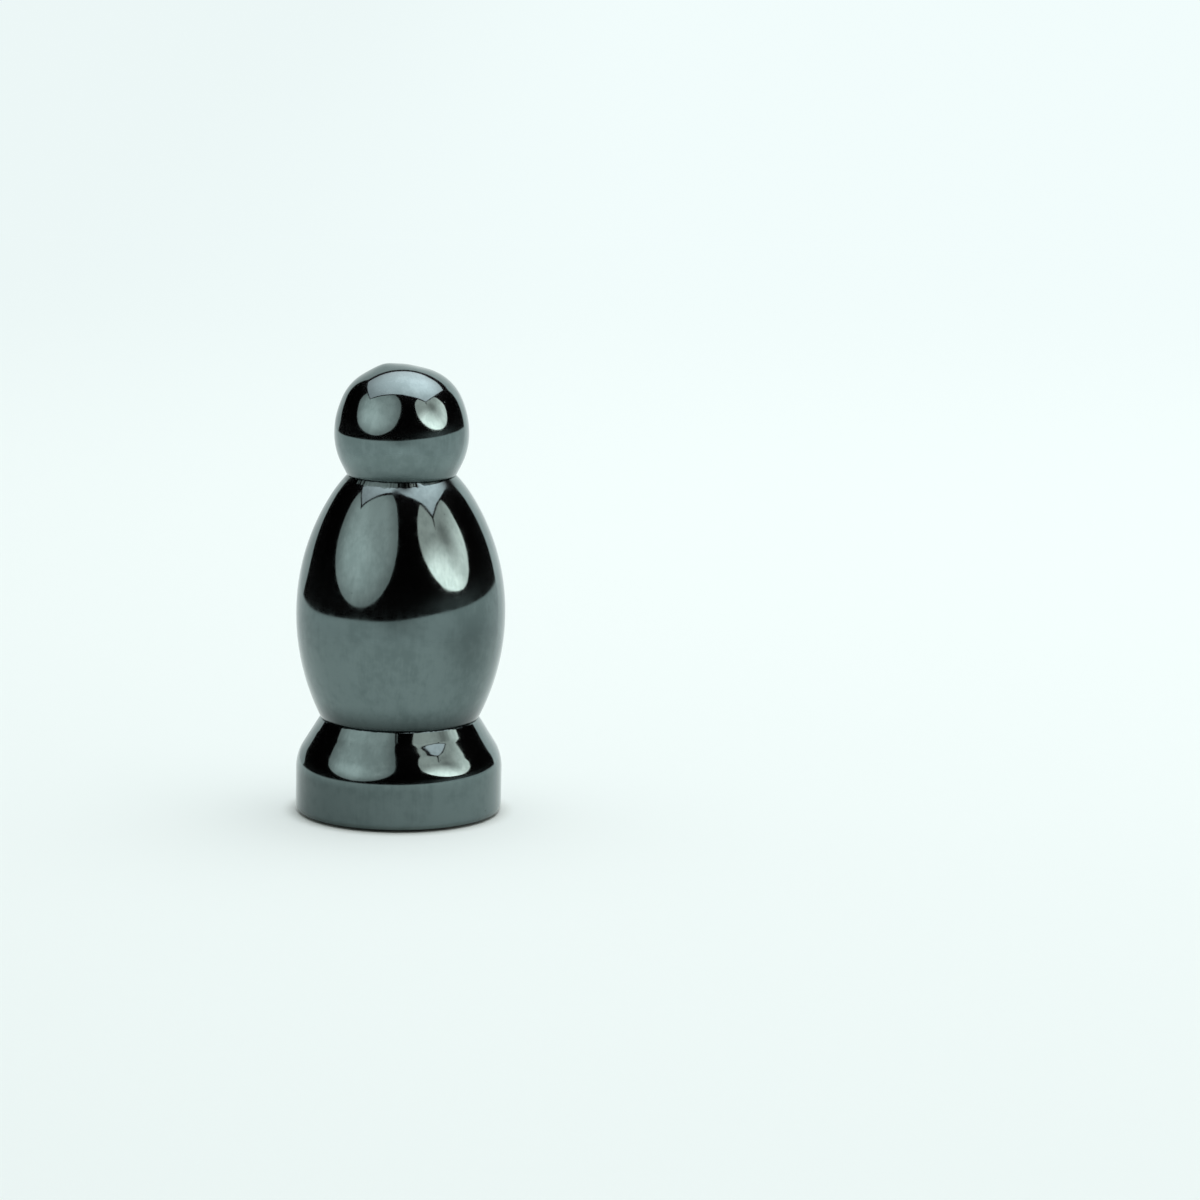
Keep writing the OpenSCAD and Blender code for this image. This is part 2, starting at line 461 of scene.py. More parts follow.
def umbrella_cloth(name, colour, look):
    """(tone fading to the rim + side gain + hot place) * cloud, less smudge and ribs."""
    material, net = new_material(name)
    place = net.add("UVMap", uv_map="sheet").outputs[0]
    x, y, _ = net.parts(place)
    even = net.ramp(net.reach(place), *RIM_FADE, look["tone"], look["rim_tone"])
    right = net.ramp(x, *SIDE_FADE, 0.0, look["side_gain"])
    to_hot = net.reach(place, look["hot_place"])
    hot = net.ramp(to_hot, look["hot_reach"], look["hot_core"], 0.0, look["hot_tone"])
    clean = net.ramp(net.reach(place, SMUDGE_PLACE), 0.0, SMUDGE_REACH, 1 - look["smudge"], 1.0)
    wave = net.math("COSINE", net.times(net.math("ARCTAN2", y, x), RIBS))
    crest = net.math("POWER", net.math("MAXIMUM", wave, 0.0), RIB_SHARPNESS)
    between_ribs = net.math("SUBTRACT", 1.0, net.times(crest, look["rib"]))
    soft = net.math("MULTIPLY_ADD", net.noise(place, 2.2, 3), 0.5, 0.75)
    lit = net.plus(hot, right, even)
    show_glow(net, colour, net.times(lit, soft, clean, between_ribs), UMBRELLA_MATT)
    return material


left_umbrella.data.materials.append(umbrella_cloth("left_cloth", (0.95, 1.0, 0.98), LEFT_LOOK))
right_umbrella.data.materials.append(umbrella_cloth("right_cloth", (1.03, 1.0, 0.94), RIGHT_LOOK))
print("cloth on", left_umbrella.name, "and", right_umbrella.name)

# %% [markdown]
# The overhead panel is a sheet of diffusing plastic in a thin dark frame. It folds
# in the middle for storing, so its near edge has a slight bend and step there, and
# its far edge bows out. It reaches further behind the pawn than in front, and on each
# stone it makes a band with two downward horns. It hangs nearer than the umbrellas
# and so covers their tops. It is a level grid of points, spread evenly between the
# near edge and the far one. Its lamp sits behind the middle, a little to the right.
# At its near right corner the stand's arm sticks out as a short dark bar.

# %% Overhead panel
PANEL_HEIGHT = 0.45
NEAR_LEFT = np.array([-1.18, -0.29])
NEAR_BEND = np.array([-0.02, -0.46])
NEAR_STEP = np.array([0, -0.035])
NEAR_RIGHT = np.array([0.98, -0.60])
FAR_LEFT = np.array([-0.77, 0.88])
FAR_RIGHT = np.array([1.17, 0.90])
FAR_BOW = np.array([0, 0.18])
ARM_START = np.array([0.93, -0.55])
ARM_END = np.array([1.124, -0.725])
ARM_WIDE = 0.03
ARM_TAPER = 0.6
ARM_DROP = 0.002


def level_sheet(name, flat, drop=0.0):
    """Level sheet overhead: flat places are in shares of its height above the head."""
    height = np.full((*flat.shape[:2], 1), PANEL_HEIGHT + HEAD_HEIGHT - drop)
    piece = sheet_mesh(name, np.concatenate([flat * PANEL_HEIGHT, height], -1), True)
    studio_only(piece)
    return piece


def overhead_panel():
    """near(u) + v * (far(u) - near(u)), for u from -1 to 1 across and v from 0 to 1."""
    u, v = np.meshgrid(np.linspace(-1, 1, 13), np.linspace(0, 1, 9))
    share = u[..., None]
    corner = np.where(share < 0, NEAR_LEFT, NEAR_RIGHT)
    bend = NEAR_BEND + np.where(share > 0, NEAR_STEP, 0)
    near = bend + np.abs(share) * (corner - bend)
    far = FAR_LEFT + (share + 1) / 2 * (FAR_RIGHT - FAR_LEFT) + (1 - share ** 2) * FAR_BOW
    piece = level_sheet("overhead_panel", near + v[..., None] * (far - near))
    keep_coordinates(piece, u, v)
    return piece


def stand_arm():
    """Flat bar start + t * (end - start) + s * side * width, which tapers with t."""
    t, s = np.meshgrid(np.linspace(0, 1, 5), np.linspace(-1, 1, 3))
    along = ARM_END - ARM_START
    side = np.array([-along[1], along[0]]) / np.linalg.norm(along)
    width = ARM_WIDE * (1 - ARM_TAPER * t)
    flat = ARM_START + t[..., None] * along + (s * width)[..., None] * side
    piece = level_sheet("stand_arm", flat, ARM_DROP)
    material, net = new_material("stand_paint")
    net.show(net.add("BsdfDiffuse", {"Color": (0.01, 0.01, 0.01)}))
    piece.data.materials.append(material)


panel = overhead_panel()
stand_arm()
print("overhead panel: %.0f mm above the pawn" % (PANEL_HEIGHT / MM))

# %% [markdown]
# The panel's plastic glows cool, brightest near the lamp. Its frame is drawn in the
# same finish, as the part outside three limits of the sheet's own coordinates,
# because at this distance a real frame would differ in nothing but its tone.

# %% Panel plastic
FRAME_SIDE = 0.05
FRAME_NEAR = 0.036
FRAME_FAR = 0.052
PANEL_MATT = 1.0
PANEL_DIM = 1.05
PANEL_HOT = 2.05
PANEL_LAMP = (0.33 * PANEL_HEIGHT, 0.30 * PANEL_HEIGHT, PANEL_HEIGHT + HEAD_HEIGHT)
PANEL_HOT_REACH = 1.35 * PANEL_HEIGHT


def panel_plastic():
    """(dim + hot, fading from the lamp) * cloud inside the frame, and dark on it."""
    material, net = new_material("panel_plastic")
    plastic = net.add("UVMap", uv_map="sheet").outputs[0]
    u, v, _ = net.parts(plastic)
    side = net.math("LESS_THAN", net.math("ABSOLUTE", u), 1 - FRAME_SIDE)
    near = net.math("GREATER_THAN", v, FRAME_NEAR)
    far = net.math("LESS_THAN", v, 1 - FRAME_FAR)
    to_lamp = net.reach(net.add("TexCoord").outputs["Object"], PANEL_LAMP)
    hot = net.ramp(to_lamp, PANEL_HOT_REACH, 0.0, 0.0, PANEL_HOT)
    soft = net.math("MULTIPLY_ADD", net.noise(plastic, 1.6, 3), 0.4, 0.8)
    glow = net.times(net.plus(hot, PANEL_DIM), soft, side, near, far)
    show_glow(net, (1.0, 1.0, 1.055), glow, PANEL_MATT)
    return material


panel.data.materials.append(panel_plastic())
print("plastic on", panel.name)

# %% [markdown]
# A turned stone is an outline carried round an axis. The outline here is the
# construction's own, in millimetres: arcs that run into each other without a
# corner, and sharp creases where stone meets stone. It could be taken from the
# construction's mesh, but that mesh is made of flat bands, and a mirror shows every
# band. So the arcs are worked out again and sampled finely.

# %% Driving sizes
WAIST_R = 5.95
NECK_R = 4.0
FOOT_WALL_H = 3.4
FOOT_SHOULDER_SHARE = 0.66
FOOT_EDGE_IN = 0.2
FOOT_EDGE_H = 0.7
BARREL_WIDEST_H = 7.95
BARREL_SIDE_SHARE = 1.025
BARREL_SHOULDER_SHARE = 0.56
HEAD_SIDE_SHARE = 1.32
HEAD_SHOULDER_SHARE = 0.75
HEAD_SIDE_TURN = 24
PIN_HOLE_R = 1.05
HOLE_MOUTH = 0.25
MOUTH_R = PIN_HOLE_R + HOLE_MOUTH
FOOT_HOLE_DEPTH = 4.2
HEAD_HOLE_DEPTH = 4.6

foot_r = foot_high.x / MM
barrel_r = barrel_high.x / MM
head_r = head_high.x / MM
waist_z = foot_high.z / MM
neck_z = barrel_high.z / MM
head_top = head_high.z / MM
print("radii: foot %.2f, barrel %.2f, head %.2f mm" % (foot_r, barrel_r, head_r))
print("seats: waist at %.2f, neck at %.2f mm" % (waist_z, neck_z))

# %% Arcs and where they start
ARC_STEP = 0.02


def arc(centre, radius, start, end):
    """centre + radius * (cos t, sin t), t going evenly from start to end in degrees."""
    count = int(abs(math.radians(end - start)) * radius / ARC_STEP) + 2
    turn = np.radians(np.linspace(start, end, count))
    return np.column_stack([centre[0] + radius * np.cos(turn), centre[1] + radius * np.sin(turn)])


def turn_of(centre, point):
    """Direction of a point seen from a centre, in degrees up from the horizontal."""
    return math.degrees(math.atan2(point[1] - centre[1], point[0] - centre[0]))


def upright_arc(widest, through):
    """The arc that is upright at the widest point and passes through another point."""
    inset = widest[0] - through[0]
    radius = ((through[1] - widest[1]) ** 2 + inset ** 2) / (2 * inset)
    return radius, (widest[0] - radius, widest[1])


# %% Outline of the foot's side
def foot_side():
    """Drawn-in edge, upright wall, shoulder arc, then the cone that just touches it."""
    edge_r = (FOOT_EDGE_IN ** 2 + FOOT_EDGE_H ** 2) / (2 * FOOT_EDGE_IN)
    edge_c = (foot_r - edge_r, FOOT_EDGE_H)
    flank_in = foot_r - WAIST_R
    flank_h = waist_z - FOOT_WALL_H
    shoulder_r = FOOT_SHOULDER_SHARE * (flank_in ** 2 + flank_h ** 2) / (2 * flank_in)
    shoulder_c = (foot_r - shoulder_r, FOOT_WALL_H)
    reach = math.hypot(WAIST_R - shoulder_c[0], waist_z - shoulder_c[1])
    turn = turn_of(shoulder_c, (WAIST_R, waist_z)) - math.degrees(math.acos(shoulder_r / reach))
    edge_turn = math.degrees(math.asin(-FOOT_EDGE_H / edge_r))
    return np.concatenate([
        arc(edge_c, edge_r, edge_turn, 0),
        arc(shoulder_c, shoulder_r, 0, turn),
        [(WAIST_R, waist_z)],
    ])


# %% Outline of the barrel's side
def barrel_side():
    """Belly arc up from the waist, a flatter side above it, and a tighter shoulder."""
    widest = (barrel_r, waist_z + BARREL_WIDEST_H)
    neck = (NECK_R, neck_z)
    belly_r, belly_c = upright_arc(widest, (WAIST_R, waist_z))
    one_arc_r, _ = upright_arc(widest, neck)
    side_r = BARREL_SIDE_SHARE * one_arc_r
    side_c = (barrel_r - side_r, widest[1])
    shoulder_r = BARREL_SHOULDER_SHARE * one_arc_r
    gap = side_r - shoulder_r
    reach = math.hypot(neck[0] - side_c[0], neck[1] - side_c[1])
    corner = math.degrees(math.acos((reach ** 2 + gap ** 2 - shoulder_r ** 2) / (2 * reach * gap)))
    turn = turn_of(side_c, neck) - corner
    shoulder_c = (side_c[0] + gap * math.cos(math.radians(turn)),
                  side_c[1] + gap * math.sin(math.radians(turn)))
    return np.concatenate([
        arc(belly_c, belly_r, turn_of(belly_c, (WAIST_R, waist_z)), 0),
        arc(side_c, side_r, 0, turn)[1:],
        arc(shoulder_c, shoulder_r, turn, turn_of(shoulder_c, neck))[1:],
    ])


# %% Outline of the head's side
def head_side():
    """A ball up to its widest height, then a flatter side, a shoulder and the crown."""
    ball_c = (0, neck_z + math.sqrt(head_r ** 2 - NECK_R ** 2))
    side_r = HEAD_SIDE_SHARE * head_r
    side_c = (head_r - side_r, ball_c[1])
    shoulder_r = HEAD_SHOULDER_SHARE * head_r
    turn = math.radians(HEAD_SIDE_TURN)
    shoulder_c = (side_c[0] + (side_r - shoulder_r) * math.cos(turn),
                  side_c[1] + (side_r - shoulder_r) * math.sin(turn))
    gap = head_top - shoulder_c[1]
    crown_r = (shoulder_c[0] ** 2 + gap ** 2 - shoulder_r ** 2) / (2 * (gap - shoulder_r))
    crown_c = (0, head_top - crown_r)
    crown_turn = turn_of(crown_c, shoulder_c)
    return np.concatenate([
        arc(ball_c, head_r, turn_of(ball_c, (NECK_R, neck_z)), 0),
        arc(side_c, side_r, 0, HEAD_SIDE_TURN)[1:],
        arc(shoulder_c, shoulder_r, HEAD_SIDE_TURN, crown_turn)[1:],
        arc(crown_c, crown_r, crown_turn, 90)[1:],
    ])


for title, side in (("foot", foot_side()), ("barrel", barrel_side()), ("head", head_side())):
    print("%s outline: %d points, %.2f to %.2f mm high" % (title, len(side), side[0, 1], side[-1, 1]))

# %% [markdown]
# Rows of points are spread along each outline. They stand close together near a
# rim, where the edge is broken and chipped, and further apart on the smooth flank.

# %% Spread the rows
FINE_STEP = 0.012
STEP_GROWTH = 0.118
COARSE_STEP = 0.13
SEAT_SHARES = np.array([0.0, 0.5, 0.8, 0.93, 0.975, 0.99])


def spread_rows(side, fine_start, fine_end, coarse=COARSE_STEP):
    """Rows along the outline: spacing = fine step + growth * distance from a fine end."""
    lengths = np.concatenate([[0], np.cumsum(np.linalg.norm(np.diff(side, axis=0), axis=1))])
    along = np.linspace(0, lengths[-1], 4000)
    near = np.full_like(along, coarse / STEP_GROWTH)
    if fine_start:
        near = np.minimum(near, along)
    if fine_end:
        near = np.minimum(near, lengths[-1] - along)
    spacing = np.minimum(FINE_STEP + STEP_GROWTH * near, coarse)
    count = np.concatenate([[0], np.cumsum(np.diff(along) / spacing[:-1])])
    wanted = np.interp(np.linspace(0, count[-1], int(count[-1]) + 1), count, along)
    return np.column_stack([np.interp(wanted, lengths, side[:, k]) for k in (0, 1)])


def seat_rows(rim_r, z, inwards):
    """Rows along a flat seat, out from the hole's mouth or in from the rim."""
    r = MOUTH_R + (rim_r - MOUTH_R) * SEAT_SHARES
    rows = np.column_stack([r, np.full_like(r, z)])
    return rows[:0:-1] if inwards else rows


# %% [markdown]
# Going round: the lathe. Each row becomes a ring. The angle is the second
# parameter, so a stone is point(row, angle) = (r cos a, r sin a, z) before the
# hand work is added. A row that lies on the axis becomes one point, so the poles are
# closed, and a grid that comes round to its start is stitched there instead.

# %% Lathe
SIDES = 640


def lathe_rings(rows, sides=SIDES):
    """Grid of points (r cos a, r sin a, z), the angle of each column and z of each row."""
    angle = np.linspace(0, 2 * np.pi, sides, endpoint=False)
    r, z = rows[:, :1], rows[:, 1:]
    grid = np.stack([r * np.cos(angle), r * np.sin(angle), z * np.ones_like(angle)], -1)
    return grid, angle, z


def one_per_point(values, loop):
    """A grid's values in the order of the mesh's points, one for each pole."""
    if loop:
        return values.reshape(-1, *values.shape[2:])
    inner = values[1:-1].reshape(-1, *values.shape[2:])
    return np.concatenate([values[0, :1], inner, values[-1, :1]])


def turned_piece(name, grid, loop):
    """Mesh of a lathe's grid: poles at both ends, or closed into a ring if it loops."""
    rows, sides = grid.shape[:2]
    points = one_per_point(grid, loop) * MM
    if loop:
        index = np.arange(rows * sides).reshape(rows, sides)
        closed = np.concatenate([index, index[:1]])
        closed = np.concatenate([closed, closed[:, :1]], 1)
        return new_mesh(name, points, strip_faces(closed).tolist())
    index = 1 + np.arange((rows - 2) * sides).reshape(rows - 2, sides)
    closed = np.concatenate([index, index[:, :1]], 1)
    first, last = closed[0], closed[-1]
    low = np.stack([np.zeros(sides, int), first[1:], first[:-1]], -1)
    high = np.stack([np.full(sides, len(points) - 1), last[:-1], last[1:]], -1)
    return new_mesh(name, points, strip_faces(closed).tolist() + low.tolist() + high.tolist())


# %% [markdown]
# The hand in the work. A stone that is lapped by hand is never quite round: its
# surface rolls by a few thousandths of a millimetre, which no ruler finds but every
# reflection shows. The waves are a sum of cosines round and along the stone. The
# three stones also sit a tenth of a millimetre off one straight line.

# %% Hand lapping
LEAN = 0.12
LEAN_SPAN = 1.25 * head_top
WAVES = ((2, 40), (3, 14), (4, 22), (5, 9), (7, 12), (9, 7), (12, 5), (16, 6))


def drift(z):
    """How far the stones stand to the right of the axis: a half wave up the pawn."""
    return LEAN * np.sin(np.pi * z / LEAN_SPAN)


def lapping(angle, z, seed, depth):
    """Sum of depth_k cos(n_k a + phase) cos(2 pi z / length_k + phase), less when short."""
    chance = np.random.default_rng(seed)
    total = np.zeros(np.broadcast(angle, z).shape)
    for turns, length in WAVES:
        phase = chance.uniform(0, 2 * np.pi, 2)
        size = depth * (4.0 / turns) ** 1.6
        total += size * np.cos(turns * angle + phase[0]) * np.cos(2 * np.pi * z / length + phase[1])
    return total


def swell(grid, rows, offset):
    """Move each row of a lathe's grid outwards by an offset in mm."""
    grid[..., :2] *= (1 + offset / np.maximum(rows[:, :1], 1))[..., None]


# %% [markdown]
# Where two stones meet, their edges were broken with a touch of the wheel and have
# chipped since. The crease shows as a dark hairline with a few bright nicks. Each
# rim is pushed in along its corner's bisector, by a wear that changes round the
# rim: a steady part, a torn part, and single chips.

# %% Worn rims
BISECTOR_IN = 0.75
BISECTOR_UP = 0.65
WAIST_WEAR = {"reach": 0.035, "steady": 0.014, "torn": 0.003, "chips": 40, "chip_depth": 0.05}


def ripple(angle, chance, turns, fade, wander=0.0):
    """Sum of (n_0 / n)^fade cos(n a + phase + wander) over the numbers of turns n."""
    total = 0.0
    for n in turns:
        phase = chance.uniform(0, 2 * np.pi)
        total = total + (turns[0] / n) ** fade * np.cos(n * angle + phase + wander)
    return total


def rim_wear(angle, radius, seed, steady, torn, chips, chip_depth):
    """Wear depth round a rim in mm: steady + torn ripple + bumps (1 - x^2)^2."""
    chance = np.random.default_rng(seed)
    wear = steady + torn * ripple(angle, chance, (23, 37, 61, 97, 143), 0.4)
    middle = chance.uniform(0, 2 * np.pi, chips)
    half = chance.uniform(0.05, 0.25, chips) / radius
    depth = chip_depth * chance.uniform(0.15, 1.0, chips) ** 1.5
    gap = np.abs((angle[:, None] - middle + np.pi) % (2 * np.pi) - np.pi) / half
    wear += (depth * np.clip(1 - gap ** 2, 0, None) ** 2).sum(1)
    return np.clip(wear, 0.0, None)


def wear_rim(grid, rows, angle, corner, inward_z, reach, **wear):
    """Push points near a rim's corner in along its bisector, by wear * exp(-(d/reach)^2)."""
    distance = np.hypot(rows[:, 0] - corner[0], rows[:, 1] - corner[1])
    push = np.exp(-(distance / reach) ** 2)[:, None] * rim_wear(angle, corner[0], **wear)
    flat = np.hypot(grid[..., 0], grid[..., 1])
    share = np.where(flat > 0, 1 - BISECTOR_IN * push / np.maximum(flat, 1e-9), 1)
    grid[..., :2] *= share[..., None]
    grid[..., 2] += BISECTOR_UP * inward_z * push
    return push


# %% [markdown]
# Each stone is closed in the same way. It leans with the pawn, becomes a mesh, and
# keeps two values at every point for its finish to read: how worn the rim is there,
# and how much of the polish is lost, which also carries a painted shade. The shading
# is smooth, and breaks only at the corners of seats and bores.

# %% Close a stone
CORNER_TURN = math.radians(38)


def close_stone(name, grid, loop, wear, dull):
    """Mesh of a leaning stone with its wear, and with its lost polish and painted shade from the given
    function.
    """
    grid[..., 0] += drift(grid[..., 2])
    piece = turned_piece(name, grid, loop)
    for title, values in (("wear", wear), ("dull", dull(grid))):
        layer = piece.data.attributes.new(title, "FLOAT", "POINT")
        layer.data.foreach_set("value", one_per_point(values, loop).astype(np.float32))
    piece.data.polygons.foreach_set("use_smooth", np.ones(len(piece.data.polygons), bool))
    piece.data.set_sharp_from_angle(angle=CORNER_TURN)
    piece.data.update()
    print("%s: %d faces" % (name, len(piece.data.polygons)))
    return piece


# %% [markdown]
# The foot's flank was ground in strokes on the side that faces the camera. It stands
# a little proud there: first steeper than the plain cone, then turning over into a
# flatter run, and steeper again in a band under the waist, with a ragged line where
# that band starts. A stroke is given by how its slope, in mm outwards per mm upwards,
# differs from the plain flank, and the slope summed up from below is the offset. At
# the right front one stroke went deeper and left a slight hollow.
#
# The lowest edge is broken into a short slope down to the table, and there the colour
# is nearly black: a painted shade for the dark slit where it meets the table. Low down
# the wall's colour is darker too, more towards the left: a painted shade for the
# shadowed table it mirrors. Both places are also a little rougher.

# %% Strokes on the foot
STROKE_HEIGHTS = (4.7, 4.85, 5.5, 6.4, 6.45, 7.25)
STROKE_SLOPES = (0.0, 0.05, 0.05, -0.044, 0.09, 0.09)
HOLLOW_HEIGHTS = (5.5, 5.6, 6.33, 6.42, 7.25)
HOLLOW_SLOPES = (0.0, -0.105, -0.095, 0.05, 0.05)
HOLLOW_MIDDLE = math.radians(-66)
HOLLOW_WIDE = 0.19
HOLLOW_TURN = 0.02


def smooth_step(start, end, value):
    """0 before start, 1 after end, 3 t^2 - 2 t^3 between them."""
    t = np.clip((value - start) / (end - start), 0, 1)
    return t * t * (3 - 2 * t)


def stroke_offset(z, heights, slopes):
    """Sum of a slope over the height: the integral of its straight runs up to z."""
    fine = np.linspace(heights[0], heights[-1], 400)
    slope = np.interp(fine, heights, slopes)
    total = np.concatenate([[0], np.cumsum((slope[1:] + slope[:-1]) / 2 * np.diff(fine))])
    return np.interp(z, fine, total)


def ragged(angle, seed, size):
    """A line drawn by a worn wheel: size * ripple, with short waves round the stone."""
    return size * ripple(angle, np.random.default_rng(seed), (19, 31, 53, 89, 131), 0.5)


def front_strokes(angle, z):
    """Outward offset in mm of the front flank. The ragged line shifts it up and down."""
    facing = smooth_step(0.1, 0.6, -np.sin(angle))
    shift = ragged(angle, 3, 0.012) * smooth_step(5.9, 6.4, z)
    gap = (angle + np.pi) % (2 * np.pi) - np.pi - HOLLOW_MIDDLE
    here = np.exp(-(gap / HOLLOW_WIDE) ** 2)
    run = smooth_step(5.4, 5.8, z) * (1 - smooth_step(6.3, 6.5, z))
    hollow = stroke_offset(z + shift, HOLLOW_HEIGHTS, HOLLOW_SLOPES) + HOLLOW_TURN * WAIST_R * gap * run
    return facing * stroke_offset(z + shift, STROKE_HEIGHTS, STROKE_SLOPES) + here * hollow


# %% Foot stone
SLIT_HEIGHT = 0.21
SLIT_DEPTH = 0.5
# Painted shade: nearly black in the slit, and darker low on the wall and to the left
SLIT_SHADE = 0.97
SLIT_SHADE_FADE = (0.19, 0.25)
WALL_SHADE_FADE = (3.0, 4.2)
WALL_SHADE_RIGHT = 0.17
WALL_SHADE_LEFT_GAIN = 0.3
UNDER_SHARES = (0, 0.3, 0.6, 0.8, 0.9, 0.97)


def broken_low_edge(side):
    """The outline with its lowest stretch cut off by a short slope down to the table."""
    start = int(np.argmax(side[:, 1] >= SLIT_HEIGHT))
    slit_top = side[start]
    share = np.linspace(0, 1, 6)[:-1, None]
    slope = np.array([slit_top[0] - SLIT_DEPTH, 0]) * (1 - share) + slit_top * share
    return np.concatenate([slope, side[start:]])


def foot_dull_and_shade(grid):
    """Painted shade and a rougher polish: low down, more to the left, nearly black in the slit."""
    x, _, z = np.moveaxis(grid, -1, 0)
    wall_shade = WALL_SHADE_RIGHT + WALL_SHADE_LEFT_GAIN * np.clip((5 - x) / 10, 0, 1) ** 1.3
    slit_shade = SLIT_SHADE * (1 - smooth_step(*SLIT_SHADE_FADE, z))
    return np.maximum(wall_shade * (1 - smooth_step(*WALL_SHADE_FADE, z)), slit_shade)


def make_foot_stone():
    """Flat underside, worn side, seat and blind pin hole, carried round the axis."""
    side = broken_low_edge(spread_rows(foot_side(), False, True))
    under = np.outer(UNDER_SHARES, [side[0, 0], 0])
    hole_low = waist_z - FOOT_HOLE_DEPTH
    bore = [[MOUTH_R, waist_z], [PIN_HOLE_R, waist_z - HOLE_MOUTH], [PIN_HOLE_R, hole_low], [0, hole_low]]
    rows = np.concatenate([under, side, seat_rows(WAIST_R, waist_z, True), bore])
    grid, angle, z = lathe_rings(rows)
    outside = (rows[:, :1] > WAIST_R - 0.5) & (z > 0)
    swell(grid, rows, outside * (lapping(angle, z, 31, 0.004) + front_strokes(angle, z)))
    push = wear_rim(grid, rows, angle, (WAIST_R, waist_z), -1, seed=7, **WAIST_WEAR)
    return close_stone("foot_stone", grid, False, push, foot_dull_and_shade)


foot_stone = make_foot_stone()

# %% [markdown]
# The barrel was ground once more with the head on, in a narrow steep band under the
# neck on its left front. So the polish shows the umbrella a second time there, above
# the overhead panel. Fine upright scratches fan out under the neck. Its colour is
# darkened a little low down, more at the sides, and most in the crease at the waist:
# a painted shade. Handling has dulled it in a few soft spots: one at the right, and
# three small ones under the neck.

# %% Grinding under the neck
BAND_HIGH = 0.34
BAND_SLOPE = 0.36
BAND_LEFT = -48.0
BAND_RIGHT = 17.0
SCRATCH_DEPTH = 0.0006


def hand_scatter(angle, z, seed):
    """Fine upright scratches: a ripple round the stone that wanders by 3 cos 7 z."""
    return ripple(angle, np.random.default_rng(seed), (71, 113, 157, 211), 0.0, 3 * np.cos(7 * z))


def neck_band(angle, z):
    """Outward offset in mm under the neck, between two directions from the front."""
    turn = np.degrees(np.arctan2(np.cos(angle), -np.sin(angle)))
    facing = smooth_step(BAND_LEFT - 12, BAND_LEFT, turn)
    facing = facing * (1 - smooth_step(BAND_RIGHT, BAND_RIGHT + 10, turn))
    low = neck_z - BAND_HIGH + ragged(angle, 4, 0.02)
    scatter = SCRATCH_DEPTH * hand_scatter(angle, z, 6) * smooth_step(neck_z - 0.9, neck_z - 0.2, z)
    return facing * BAND_SLOPE * np.clip(z - low, 0, None) + scatter


# %% Barrel stone
BARREL_STEP = 0.165
BARREL_SIDES = 600
# Painted shade: darker in the crease at the waist, and low down, more at the sides
CREASE_SHADE = 0.67
CREASE_SHADE_FADE = (waist_z - 0.15, waist_z + 2.15)
LOW_SHADE = 0.09
LOW_SHADE_SIDE_GAIN = 0.07
LOW_SHADE_FADE = (14, 18)
BAND_DULL = 0.42
DULL_SPOTS = (((5.5, -5.6, 13.7), 1.9, 0.22),
              ((-0.09, -4.58, 25.05), 0.28, 0.7),
              ((0.51, -4.19, 25.48), 0.55, 0.95),
              ((3.65, -2.24, 25.50), 0.75, 0.9))


def barrel_dull_and_shade(grid):
    """Painted shade and lost polish: 1 - what the crease shade, low shade, spots and band leave."""
    x, _, z = np.moveaxis(grid, -1, 0)
    left = 1 - CREASE_SHADE * (1 - smooth_step(*CREASE_SHADE_FADE, z))
    low_shade = LOW_SHADE + LOW_SHADE_SIDE_GAIN * smooth_step(2, 6, np.abs(x))
    left = left * (1 - low_shade * (1 - smooth_step(*LOW_SHADE_FADE, z)))
    for place, reach, depth in DULL_SPOTS:
        gap = np.linalg.norm(grid - np.array(place), axis=-1)
        left = left * (1 - depth * np.exp(-(gap / reach) ** 2))
    band_low = neck_z - BAND_HIGH
    band = BAND_DULL * (1 - smooth_step(-0.5, 0.5, x)) * smooth_step(band_low, band_low + 0.05, z)
    return 1 - left * (1 - band)


def make_barrel_stone():
    """Lower seat, worn side, upper seat and the pin's bore, closed into one loop."""
    side = spread_rows(barrel_side(), True, True, BARREL_STEP)
    bore = [[MOUTH_R, neck_z], [PIN_HOLE_R, neck_z - HOLE_MOUTH], [PIN_HOLE_R, waist_z + HOLE_MOUTH]]
    low_seat = seat_rows(WAIST_R, waist_z, False)
    high_seat = seat_rows(NECK_R, neck_z, True)
    rows = np.concatenate([low_seat, side, high_seat, bore])
    grid, angle, z = lathe_rings(rows, BARREL_SIDES)
    outside = rows[:, :1] > NECK_R - 0.3
    swell(grid, rows, outside * (lapping(angle, z, 12, 0.004) + neck_band(angle, z)))
    push = wear_rim(grid, rows, angle, (WAIST_R, waist_z), 1, seed=8, **WAIST_WEAR)
    push = push + wear_rim(grid, rows, angle, (NECK_R, neck_z), -1, seed=9, reach=0.04,
                           steady=0.014, torn=0.004, chips=50, chip_depth=0.06)
    return close_stone("barrel_stone", grid, True, push, barrel_dull_and_shade)


barrel_stone = make_barrel_stone()

# %% [markdown]
# The crown was touched up on the wheel from two sides. The two passes left a soft
# ridge a little left of the middle, running back from the top, and a flatter stretch
# to the right of it. Both are a tenth of a millimetre or so. They come in as bell
# curves of x, which fade out towards the front and the far back, on a crown that is
# a touch lower than the plain outline at the left. Low down, a skirt of stone was
# left standing round the neck.

